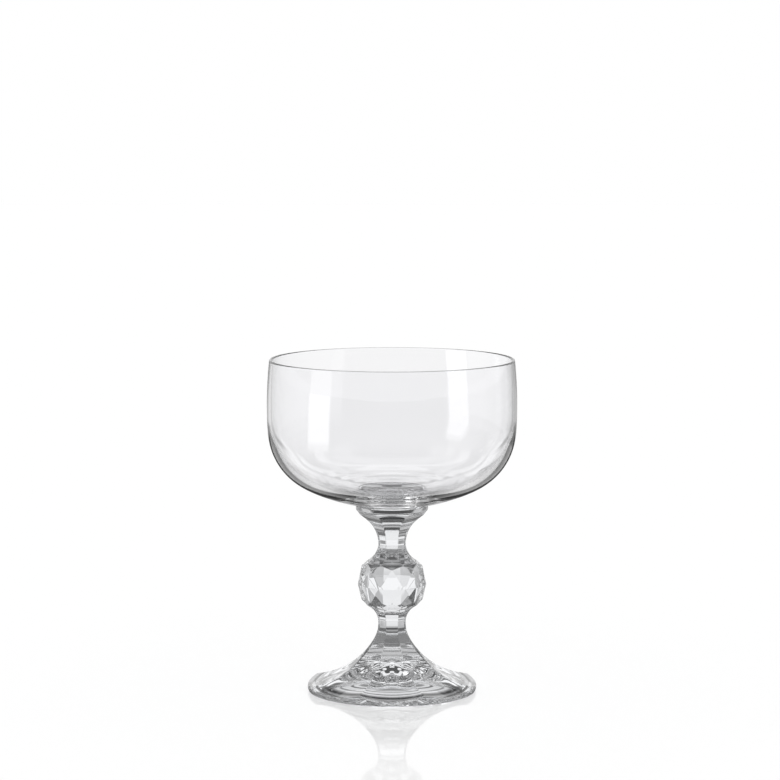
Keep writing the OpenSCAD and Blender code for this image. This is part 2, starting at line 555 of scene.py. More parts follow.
class Workshop:
    """Turns sections and panels into finished pieces that stand for the CAD nodes.

    Attributes:
        weld: Points closer together than this become one, in millimetres.
        steps: Steps round the axis in a turned piece.
    """

    weld: float = 0.0004
    steps: int = 256

    def __init__(self) -> None:
        """Makes the two repeating trees and the materials.

        All the pieces share them.
        """
        self.panels = Repeat.panels()
        self.turned = Repeat.turned()
        self.blown = BLOWN.material()
        self.pressed = PRESSED.material()
        self.joint = FusedJoint().material()

    def _run(
        self, name: str, mesh: bpy.types.Mesh, tree: bpy.types.NodeTree, values: dict[str, object]
    ) -> bpy.types.Mesh:
        """Runs a tree on a mesh.

        Args:
            name: Name of the piece.
            mesh: What the tree starts from.
            tree: The tree.
            values: Its inputs by name.

        Returns:
            The plain mesh that comes out.
        """
        helper = bpy.data.objects.new(name + "_start", mesh)
        bpy.context.scene.collection.objects.link(helper)
        modifier = helper.modifiers.new("Rule", "NODES")
        modifier.node_group = tree
        for item in tree.interface.items_tree:
            if item.in_out == "INPUT" and item.name in values:
                modifier[item.identifier] = values[item.name]
        ready = helper.evaluated_get(bpy.context.evaluated_depsgraph_get())
        made = bpy.data.meshes.new_from_object(ready)
        helper.modifiers.remove(modifier)
        bpy.data.objects.remove(helper)
        return made

    def _finish(self, node: str, made: bpy.types.Mesh) -> bpy.types.Object:
        """Places a piece on the body, in place of its CAD node.

        Args:
            node: The CAD node that it stands for.
            made: Its mesh.

        Returns:
            The piece.
        """
        made.name = node + "_glass"
        piece = bpy.data.objects.new(node + "_glass", made)
        bpy.context.scene.collection.objects.link(piece)
        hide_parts(node)
        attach(piece, "root")
        low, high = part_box(node)
        size = [max(v.co[i] for v in made.vertices) - min(v.co[i] for v in made.vertices) for i in range(3)]
        log.info(
            "%s: %d faces, %.1f x %.1f x %.1f mm, CAD %.1f x %.1f x %.1f mm",
            piece.name,
            len(made.polygons),
            *(s / MM for s in size),
            *((high - low) / MM),
        )
        return piece

    def from_panel(self, node: str, panel: Panel) -> bpy.types.Object:
        """Finishes a piece of eight equal panels, for the CAD node that it stands for."""
        values = {"Sides": SIDES, "Weld": self.weld * MM, "Glass": self.pressed, "Joint": self.joint}
        return self._finish(node, self._run(node, panel.mesh(node), self.panels, values))

    def from_section(
        self, node: str, line: Sequence[Point], fused: set[int], glass: bpy.types.Material
    ) -> bpy.types.Object:
        """Finishes a turned piece.

        Args:
            node: The CAD node that it stands for.
            line: Radius and level of each point, from the top's middle out and down.
            fused: The points on the level plane where it is fused to a neighbour.
            glass: Its material.

        Returns:
            The piece.
        """
        mesh = bpy.data.meshes.new(node)
        mesh.from_pydata([(0, -r * MM, z * MM) for r, z in line], [], [])
        mark = mesh.attributes.new("fused", "BOOLEAN", "POINT")
        mark.data.foreach_set("value", [i in fused for i in range(len(line))])
        values = {"Steps": self.steps, "Weld": self.weld * MM, "Glass": glass, "Joint": self.joint}
        return self._finish(node, self._run(node, mesh, self.turned, values))


def arc(middle: Point, radius: float, start: float, end: float, steps: int) -> list[Point]:
    """Points of an arc in section, between two directions in radians."""
    turns = spread(start, end, steps)
    return [(middle[0] + radius * math.cos(t), middle[1] + radius * math.sin(t)) for t in turns]


def eased(line: list[Point], reach: float, step: float) -> list[Point]:
    """Evens out the jumps in a section's curvature, as blown glass has none, and keeps its ends.

    Args:
        line: The section.
        reach: How far each point looks to both sides, in millimetres.
        step: Distance between the points of the result.

    Returns:
        The section with close, even points, averaged twice.
    """
    run = [0.0]
    for (ar, az), (br, bz) in zip(line, line[1:]):
        run.append(run[-1] + math.hypot(br - ar, bz - az))
    count = round(run[-1] / step)
    even, at = [], 0
    for i in range(count + 1):
        target = run[-1] * i / count
        while at < len(line) - 2 and run[at + 1] < target:
            at += 1
        share = (target - run[at]) / (run[at + 1] - run[at])
        even.append(tuple(line[at][k] + (line[at + 1][k] - line[at][k]) * share for k in (0, 1)))
    side = round(reach / step)
    window = 2 * side + 1
    for _ in range(2):
        head = [(2 * even[0][0] - r, 2 * even[0][1] - z) for r, z in even[side:0:-1]]
        tail = [(2 * even[-1][0] - r, 2 * even[-1][1] - z) for r, z in even[-2 : -side - 2 : -1]]
        wide = head + even + tail
        even = [
            tuple(sum(p[k] for p in wide[i : i + window]) / window for k in (0, 1)) for i in range(count + 1)
        ]
    return even


@dataclass
class Bowl:
    """The blown bowl: a barrel-shaped side, a round turn and a shallow floor, thicker low down.

    Args:
        width: Its largest width.
        widest: The level of that.
        side: Radius of the side's long curve.
        corner: Radius of the turn, outside.
        floor: Radius of the floor's curve, outside.
        rim_wall: Thickness at the rim.
        side_wall: Thickness at the widest place.
        corner_in: Radius of the turn, inside.
        floor_in: Radius of the floor's curve, inside.
        floor_wall: Thickness in the middle of the floor.
        pad: Width of the flat pad underneath.
        top: Level of the rim.
        seat: Level of the pad.
        ease: How far each point looks to both sides when the curves are evened out.
        ease_step: Distance between the section's points.
        wave_from: Radius at which the floor's faint rings start.
        wave_to: Radius at which they end.
        wave_length: Distance from ring to ring.
        wave_depth: Half the height of the strongest ring.
        wall_steps: Steps along the side, the turn and the floor.
        rim_steps: Steps over the rim.
    """

    width: float = 99.4
    widest: float = 114.25
    side: float = 174.0
    corner: float = 26.0
    floor: float = 80.0
    rim_wall: float = 1.1
    side_wall: float = 1.26
    corner_in: float = 26.0
    floor_in: float = 90.0
    floor_wall: float = 3.6
    pad: float = 27.4
    top: float = 133.0
    seat: float = 74.9
    ease: float = 3.2
    ease_step: float = 0.4
    wave_from: float = 11.0
    wave_to: float = 36.0
    wave_length: float = 5.2
    wave_depth: float = 0.03
    wall_steps: tuple[int, int, int] = (36, 44, 30)
    rim_steps: int = 14

    def wave(self, r: float) -> float:
        """Height of the faint rings that turning the hot glass left in the bowl's floor.

        Args:
            r: A distance from the axis.

        Returns:
            The height there.
        """
        if not self.wave_from < r < self.wave_to:
            return 0.0
        past = r - self.wave_from
        swell = math.sin(math.pi * (past / (self.wave_to - self.wave_from)))
        return self.wave_depth * swell * math.sin(math.tau * past / self.wave_length)

    def wall(self, w: float, side: float, corner: float, low: float, floor: float, end: float) -> list[Point]:
        """One surface of the bowl in section, from the middle of the rim.

        Args:
            w: Its largest radius.
            side: Radius of the side's curve.
            corner: Radius of the turn.
            low: The level at which its floor would meet the axis.
            floor: Radius of the floor's curve.
            end: How far from the axis it ends.

        Returns:
            The points, from the top down.
        """
        side_mid, floor_mid = (w - side, self.widest), (0.0, low + floor)
        gap = math.hypot(floor_mid[0] - side_mid[0], floor_mid[1] - side_mid[1])
        ux, uz = (floor_mid[0] - side_mid[0]) / gap, (floor_mid[1] - side_mid[1]) / gap
        along = ((side - corner) ** 2 - (floor - corner) ** 2 + gap * gap) / (2 * gap)
        off = math.sqrt((side - corner) ** 2 - along * along)
        mid = (side_mid[0] + along * ux + off * uz, side_mid[1] + along * uz - off * ux)
        turn = math.atan2(mid[1] - side_mid[1], mid[0] - side_mid[0])
        base = math.atan2(mid[1] - floor_mid[1], mid[0] - floor_mid[0])
        start = math.asin((self.top - self.rim_wall / 2 - self.widest) / side)
        on_side, on_corner, on_floor = self.wall_steps
        return (
            arc(side_mid, side, start, turn, on_side)[:-1]
            + arc(mid, corner, turn, base, on_corner)[:-1]
            + arc(floor_mid, floor, base, -math.acos(end / floor), on_floor)
        )

    def build(self, shop: Workshop) -> None:
        """Makes the bowl with its rounded rim.

        Args:
            shop: The workshop.
        """
        r = self.width / 2
        lip_r = self.rim_wall / 2
        lip = self.top - lip_r
        drop = lip - self.widest
        low = self.seat - (self.floor - math.sqrt(self.floor**2 - (self.pad / 2) ** 2))
        # The inner side leans in by as much less as the wall is thinner at the rim.
        lean = self.side - math.sqrt(self.side**2 - drop * drop)
        lean_in = lean + self.rim_wall - self.side_wall
        side_in = (drop * drop + lean_in * lean_in) / (2 * lean_in)
        outside = self.wall(r, self.side, self.corner, low, self.floor, self.pad / 2)
        inside = self.wall(
            r - self.side_wall, side_in, self.corner_in, low + self.floor_wall, self.floor_in, 0.0
        )
        outside = eased(outside, self.ease, self.ease_step)
        inside = [(r, z + self.wave(r)) for r, z in eased(inside, self.ease, self.ease_step)]
        rim = arc((outside[0][0] - lip_r, lip), lip_r, math.pi, 0.0, self.rim_steps)
        line = inside[::-1] + rim[1:-1] + outside + [(0.0, self.seat)]
        last = len(line) - 1
        shop.from_section("bowl", line, {last - 1, last}, shop.blown)


@dataclass
class Collar:
    """The round collar that the bowl was fused on, with rounded edges.

    Args:
        width: Its width.
        low: Level of its underside.
        top: Level of its upper side.
        top_round: Radius of its upper edge.
        low_round: Radius of its lower edge.
        steps: Steps round each edge.
    """

    width: float = 28.7
    low: float = 72.4
    top: float = 74.9
    top_round: float = 0.6
    low_round: float = 0.8
    steps: int = 8

    def build(self, shop: Workshop) -> None:
        """Makes the collar.

        Args:
            shop: The workshop.
        """
        r, quarter = self.width / 2, math.pi / 2
        upper_mid = (r - self.top_round, self.top - self.top_round)
        lower_mid = (r - self.low_round, self.low + self.low_round)
        upper = arc(upper_mid, self.top_round, quarter, 0.0, self.steps)
        lower = arc(lower_mid, self.low_round, 0.0, -quarter, self.steps)
        line = [(0.0, self.top)] + upper + lower + [(0.0, self.low)]
        last = len(line) - 1
        shop.from_section("collar", line, {0, 1, last - 1, last}, shop.pressed)


@dataclass
class EightSided:
    """What the stem's pieces share: flat faces that meet in ridges rounded by fire-polishing.

    Args:
        ridge: Width of the rounding of a ridge, measured along the radius.
        guard: How far from a crease the points stand close together.
        near_middle: Azimuths of a panel's columns near the face's middle, in degrees.
        near_ridge: Azimuths of its columns near a ridge, in degrees.
    """

    ridge: float = 0.22
    guard: float = 0.3
    near_middle: tuple[float, ...] = (0.0, 0.25, 0.6, 1.1, 2.0, 3.5, 6.0, 9.0, 12.5)
    near_ridge: tuple[float, ...] = (15.5, 18.0, 19.6, 20.8, 21.6, 22.1, 22.35, 22.5)

    @property
    def angles(self) -> list[float]:
        """Azimuths of all of a panel's columns, on both sides of the face's middle."""
        half = self.near_middle + self.near_ridge
        return [math.radians(-a) for a in half[:0:-1]] + [math.radians(a) for a in half]

    def rounded(self, rule: Callable[[float], float], angle: float, width: float) -> float:
        """A face's rule, rounded where it meets the next face's.

        Args:
            rule: Radius or level of the face for an azimuth from its middle.
            angle: The azimuth.
            width: Width of the rounding.

        Returns:
            The radius or level there.
        """
        angle = abs(angle)
        return soft_min(rule(angle), rule(FACE_TURN - angle), width)


@dataclass
class UpperStem(EightSided):
    """The stem between the knop and the collar.

    Args:
        low: Level at which it meets the knop.
        top: Level at which it meets the collar.
        round_r: Radius at which the collar's round edge cuts it.
        flare: Its faces above the waist.
        shoulder: Its faces below the waist.
        flare_steps: Steps down the faces above the waist.
        shoulder_steps: Steps down the faces below it.
    """

    low: float = 51.9
    top: float = 72.4
    round_r: float = 13.55
    flare: Flare = Flare(5.43, 59.05, Way.UP, ((13.7, 51.0),))
    shoulder: Flare = SHOULDER
    flare_steps: int = 36
    shoulder_steps: int = 24

    def radius(self, angle: float, z: float) -> float:
        """The stem's radius at an azimuth and a level, before the collar's round edge cuts it."""
        out = self.flare.out(z) if z > self.flare.start else self.shoulder.out(z)
        return self.rounded(lambda a: out / math.cos(a), angle, self.ridge)

    def build(self, shop: Workshop) -> None:
        """Makes the upper stem.

        Args:
            shop: The workshop.
        """
        waist = self.flare.start
        columns = []
        for angle in self.angles:
            edge = solve(lambda z: self.radius(angle, z) - self.round_r, waist, self.top)
            levels = self.flare.levels(edge, waist, self.flare_steps)
            levels += self.shoulder.levels(waist, self.low, self.shoulder_steps)[1:]
            column = [(0.0, self.top), (self.round_r, self.top)]
            column += [(min(self.radius(angle, z), self.round_r), z) for z in levels]
            column.append((0.0, self.low))
            columns.append(column)
        last = len(columns[0]) - 2
        shop.from_panel("upper_stem", Panel(self.angles, columns, {0, last}))


@dataclass
class Knop(EightSided):
    """The knop: eight raised diamonds with triangles above and below, cut into by both necks.

    Args:
        low: Level at which it meets the lower stem.
        top: Level at which it meets the upper stem.
        girth: Level of its middle.
        up: How far above the middle the diamonds end.
        down: How far below the middle they end.
        middle_r: Radius at a diamond's middle.
        side_r: Radius at a diamond's side corners.
        top_r: Radius at a diamond's upper tip.
        low_r: Radius at its lower tip.
        ridge_round: Width of the rounding down the middle of a diamond.
        side_round: Width of the rounding between diamond and triangle.
        girth_round: Width of the rounding between the diamonds' halves.
        neck_round: Width of the rounding where a neck cuts in.
        shoulder: The upper neck's faces.
        cup: The lower neck's faces.
        facet_steps: Steps along a facet, between its guards.
        neck_steps: Steps along a neck's face, between its guards.
    """

    low: float = 34.2
    top: float = 51.9
    girth: float = 42.6
    up: float = 7.6
    down: float = 6.6
    middle_r: float = 13.63
    side_r: float = 13.4
    top_r: float = 12.1
    low_r: float = 12.1
    ridge_round: float = 0.07
    side_round: float = 0.04
    girth_round: float = 0.03
    neck_round: float = 0.16
    shoulder: Flare = SHOULDER
    cup: Flare = CUP
    facet_steps: int = 3
    neck_steps: int = 12

    def diamond(self, angle: float, z: float, tip_r: float, tip: float) -> float:
        """Radius of a diamond's half, between its middle, its side corners and its tip.

        Args:
            angle: Azimuth from the diamond's middle.
            z: Level.
            tip_r: Radius at the tip.
            tip: Level of the tip.

        Returns:
            The radius there.
        """
        side_out, side_across = self.side_r * math.cos(HALF_TURN), self.side_r * math.sin(HALF_TURN)
        lean = (self.middle_r - side_out) / side_across
        rise = (self.middle_r - tip_r) / (tip - self.girth)
        out = self.middle_r - rise * (z - self.girth)
        own = out / (math.cos(angle) + lean * math.sin(abs(angle)))
        other = out / (math.cos(angle) - lean * math.sin(abs(angle)))
        return soft_min(own, other, self.ridge_round)

    def triangle(self, angle: float, z: float, tip_r: float, tip: float) -> float:
        """Radius of a triangle between two diamonds.

        Args:
            angle: Azimuth from the nearer diamond's middle.
            z: Level.
            tip_r: Radius at the diamonds' tips.
            tip: Level of the tips.

        Returns:
            The radius there.
        """
        middle = tip_r * math.cos(HALF_TURN)
        out = self.side_r + (middle - self.side_r) * (z - self.girth) / (tip - self.girth)
        return out / math.cos(HALF_TURN - abs(angle))

    def neck(self, angle: float, z: float) -> float:
        """Radius of the neck's face at this level."""
        out = self.shoulder.out(z) if z > self.girth else self.cup.out(z)
        return self.rounded(lambda a: out / math.cos(a), angle, self.ridge)

    def radius(self, angle: float, z: float) -> float:
        """The knop's radius, with every crease a little rounded.

        Args:
            angle: Azimuth from a diamond's middle.
            z: Level.

        Returns:
            The radius there.
        """
        tips = (self.top_r, self.girth + self.up), (self.low_r, self.girth - self.down)
        upper, lower = (self.diamond(angle, z, *tip) for tip in tips)
        triangle = self.triangle(angle, z, *tips[0 if z > self.girth else 1])
        facet = soft_min(soft_min(upper, lower, self.girth_round), triangle, self.side_round)
        return soft_min(facet, self.neck(angle, z), self.neck_round)

    def half(self, angle: float, tip_r: float, tip: float, end: float) -> list[Point]:
        """Half a column, with its points close together at the creases.

        Args:
            angle: The column's azimuth.
            tip_r: Radius at the diamonds' tips in this half.
            tip: Level of those tips.
            end: Level at which this half ends.

        Returns:
            Radius and level of each point, from the girth outwards to the end.
        """
        triangle = partial(self.triangle, angle, tip_r=tip_r, tip=tip)
        diamond = partial(self.diamond, angle, tip_r=tip_r, tip=tip)
        side = self.girth
        if abs(angle) < max(self.angles):
            side = solve(lambda z: triangle(z) - diamond(z), self.girth, tip * 2 - self.girth)
        neck = solve(lambda z: self.neck(angle, z) - min(triangle(z), diamond(z)), self.girth, end)
        side = min(side, neck) if end > self.girth else max(side, neck)
        levels = guarded(self.girth, side, self.facet_steps, self.guard)[:-1]
        levels += guarded(side, neck, self.facet_steps, self.guard)[:-1]
        levels += guarded(neck, end, self.neck_steps, self.guard)
        return [(self.radius(angle, z), z) for z in levels]

    def build(self, shop: Workshop) -> None:
        """Makes the knop.

        Args:
            shop: The workshop.
        """
        columns = []
        for angle in self.angles:
            upper = self.half(angle, self.top_r, self.girth + self.up, self.top)
            lower = self.half(angle, self.low_r, self.girth - self.down, self.low)
            column = [(0.0, self.top)] + upper[::-1] + lower[1:] + [(0.0, self.low)]
            columns.append(column)
        last = len(columns[0]) - 2
        shop.from_panel("knop", Panel(self.angles, columns, {0, last}))


@dataclass
class Flutes(EightSided):
    """The long faces of the lower stem and the foot, slightly hollow across.

    Args:
        sweep: The middle of a face in section.
        hollow: Radius of the hollow across a face.
        edge_level: Level of the foot's widest ring, which the hollow is measured from.
        tries: How often a radius is worked out anew until it settles.
    """

    sweep: Flare = Flare(5.5, 26.6, Way.DOWN, ((13.8, 29.0), (33.6, 74.4)))
    hollow: float = 120.0
    edge_level: float = 1.55
    tries: int = 6

    def height(self, out: float, across: float) -> float:
        """Level of a face at a point, from its distance out and across."""
        axle = self.hollow + self.edge_level
        return axle - math.sqrt((axle - self.sweep.level(out)) ** 2 - across * across)

    def out_at(self, angle: float, z: float) -> float:
        """Radius of a face.

        Args:
            angle: Azimuth from the face's middle.
            z: Level.

        Returns:
            The radius there.
        """
        axle = self.hollow + self.edge_level
        out = self.sweep.out(z)
        for _ in range(self.tries):
            across = out * math.tan(angle)
            out = self.sweep.out(axle - math.sqrt((axle - z) ** 2 + across * across))
        return out / math.cos(angle)


@dataclass
class LowerStem(Flutes):
    """The stem between the foot and the knop.

    Args:
        low: Level at which it meets the foot.
        top: Level at which it meets the knop.
        cup: Its faces above the waist.
        cup_steps: Steps down the faces above the waist.
        sweep_steps: Steps down the faces below it.
    """

    low: float = 14.0
    top: float = 34.2
    cup: Flare = CUP
    cup_steps: int = 24
    sweep_steps: int = 36

    def radius(self, angle: float, z: float) -> float:
        """The stem's radius.

        Args:
            angle: Azimuth from a face's middle.
            z: Level.

        Returns:
            The radius there.
        """
        if z > self.sweep.start:
            return self.rounded(lambda a: self.cup.out(z) / math.cos(a), angle, self.ridge)
        return self.rounded(lambda a: self.out_at(a, z), angle, self.ridge)

    def build(self, shop: Workshop) -> None:
        """Makes the lower stem.

        Args:
            shop: The workshop.
        """
        levels = self.cup.levels(self.top, self.cup.start, self.cup_steps)
        levels += self.sweep.levels(self.cup.start, self.low, self.sweep_steps)[1:]
        columns = [
            [(0.0, self.top)] + [(self.radius(angle, z), z) for z in levels] + [(0.0, self.low)]
            for angle in self.angles
        ]
        last = len(columns[0]) - 2
        shop.from_panel("lower_stem", Panel(self.angles, columns, {0, last}))


@dataclass
class Foot(Flutes):
    """The foot: eight flutes that run out to a round edge, and a hollow underside.

    Args:
        top: Level at which it meets the lower stem.
        width: Its width.
        edge_r: Radius of the round edge in section.
        hollow_width: Width of the hollow underneath.
        hollow_height: Height of the hollow in the middle.
        crease: Width of the rounding between the flutes and at the round edge, measured upright.
        lobe_height: Height of the underside's soft lobes.
        neck_r: The smallest and the largest radius that its top may have.
        face_steps: Steps down the upper side, between its guards.
        edge_steps: Steps round the edge, between its guards.
        hollow_steps: Steps from the edge to the middle of the underside.
    """

    top: float = 14.0
    width: float = 67.5
    edge_r: float = 3.0
    hollow_width: float = 60.4
    hollow_height: float = 7.0
    crease: float = 0.09
    lobe_height: float = 0.22
    neck_r: tuple[float, float] = (5.5, 20.0)
    face_steps: int = 60
    edge_steps: int = 12
    hollow_steps: int = 60

    def underside(self, angle: float, r: float) -> float:
        """Level of the underside: a shallow dome with a soft lobe behind each flute.

        Args:
            angle: Azimuth from the middle of a flute.
            r: Distance from the axis.

        Returns:
            The level there.
        """
        ball = ((self.hollow_width / 2) ** 2 + self.hollow_height**2) / (2 * self.hollow_height)
        swell = math.sin(math.pi * (2 * r / self.hollow_width)) ** 2
        lobe = self.lobe_height * math.cos(SIDES * angle) * swell
        return self.hollow_height - ball + math.sqrt(ball * ball - r * r) + lobe

    def face(self, angle: float, r: float) -> float:
        """Level of the upper side at an azimuth and a radius."""
        return self.rounded(lambda a: self.height(r * math.cos(a), r * math.sin(a)), angle, self.crease)

    def edge(self, r: float) -> float:
        """Level of the round edge's upper half, or one far above the foot where it doesn't reach.

        Args:
            r: Distance from the axis.

        Returns:
            The level there.
        """
        middle = self.width / 2 - self.edge_r
        return self.edge_level + math.sqrt(self.edge_r**2 - (r - middle) ** 2) if r > middle else self.top * 2

    def column(self, angle: float) -> list[Point]:
        """One column of the foot's panel.

        Args:
            angle: Its azimuth.

        Returns:
            Radius and level of each point, from the top's middle to the underside's.
        """
        middle = self.width / 2 - self.edge_r
        start = solve(lambda r: self.face(angle, r) - self.top, *self.neck_r)
        end = solve(lambda r: self.face(angle, r) - self.edge(r), middle, self.width / 2 - HAIR)
        column = [(0.0, self.top)]
        for r in guarded(start, end, self.face_steps, self.guard):
            column.append((r, soft_min(self.face(angle, r), self.edge(r), self.crease)))
        begin = math.atan2(self.edge(end) - self.edge_level, end - middle)
        stop = -math.asin(self.edge_level / self.edge_r)
        for t in guarded(begin, stop, self.edge_steps, self.guard / self.edge_r)[1:]:
            r, z = middle + self.edge_r * math.cos(t), self.edge_level + self.edge_r * math.sin(t)
            column.append((r, soft_min(z, self.face(angle, r), self.crease) if t > 0 else z))
        inwards = spread(self.hollow_width / 2, 0.0, self.hollow_steps)
        return column + [(r, self.underside(angle, r)) for r in inwards]

    def build(self, shop: Workshop) -> None:
        """Makes the foot."""
        shop.from_panel("foot", Panel(self.angles, [self.column(angle) for angle in self.angles], {0}))


@dataclass(frozen=True)
class Zone:
    """A soft-edged piece of the studio's wall or floor, for a lamp, a screen, a dark part, and near the foot
    the glass's painted shadow and painted light.

    Args:
        level: Its brightness, where 1 is white.
        reach: Where it starts and ends: degrees above the table on the wall, or millimetres from
            the glass on the floor.
        middle: Azimuth of its middle in degrees, from the camera's side, to the right.
        half: Half its width in degrees, or None where it goes all round.
        times: How often it stands round the glass.
        turn_soft: Width of its soft edge in azimuth, in degrees.
        reach_soft: Widths of its soft edges at the start and the end of its reach.
    """

    level: float
    reach: tuple[float, float]
    middle: float = 0.0
    half: float | None = None
    times: int = 1
    turn_soft: float = 3.0
    reach_soft: tuple[float, float] = (3.0, 3.0)


def both_sides(zone: Zone) -> tuple[Zone, Zone]:
    """A zone on the right, and the same on the left."""
    return zone, replace(zone, middle=-zone.middle)


@dataclass(frozen=True)
class LacqueredBoard:
    """White lacquered board: evenly bright, with a soft mirror image that fades away from the glass.

    Args:
        name: Name of the material.
        colour: The board's colour, as an sRGB hex colour.
        glow: Brightness added to it, so that it shows as white as the wall behind it.
        rough: Roughness of the lacquer, which softens the mirror image.
        gloss: Share of the light that is a mirror image, beside the glass and further off.
        gloss_reach: Where that share starts to fall and where it ends, in millimetres.
    """

    name: str = "White lacquered board"
    colour: str = "#b4b4b4"
    glow: float = 0.545
    rough: float = 0.04
    gloss: tuple[float, float] = (0.35, 0.14)
    gloss_reach: tuple[float, float] = (45.0, 150.0)

    def shader(self, tree: bpy.types.NodeTree, reach: bpy.types.NodeSocket) -> bpy.types.NodeSocket:
        """Adds the nodes for what the camera sees of the board.

        Args:
            tree: The material's tree.
            reach: Distance from the glass in millimetres.

        Returns:
            The shader.
        """
        board = add_node(tree, "ShaderNodeBsdfDiffuse", {"Color": linear(self.colour)})
        glow = add_node(tree, "ShaderNodeEmission", {"Color": WHITE, "Strength": self.glow})
        lit = add_node(tree, "ShaderNodeAddShader", {0: board.outputs[0], 1: glow.outputs[0]})
        (near, far), (before, after) = self.gloss_reach, self.gloss
        fall = add_node(
            tree,
            "ShaderNodeMapRange",
            {"Value": reach, "From Min": near, "From Max": far, "To Min": before, "To Max": after},
            interpolation_type="SMOOTHSTEP",
        )
        gloss = add_node(tree, "ShaderNodeBsdfGlossy", {"Color": WHITE, "Roughness": self.rough})
        shares = {0: fall.outputs[0], 1: lit.outputs[0], 2: gloss.outputs[0]}
        return add_node(tree, "ShaderNodeMixShader", shares).outputs[0]


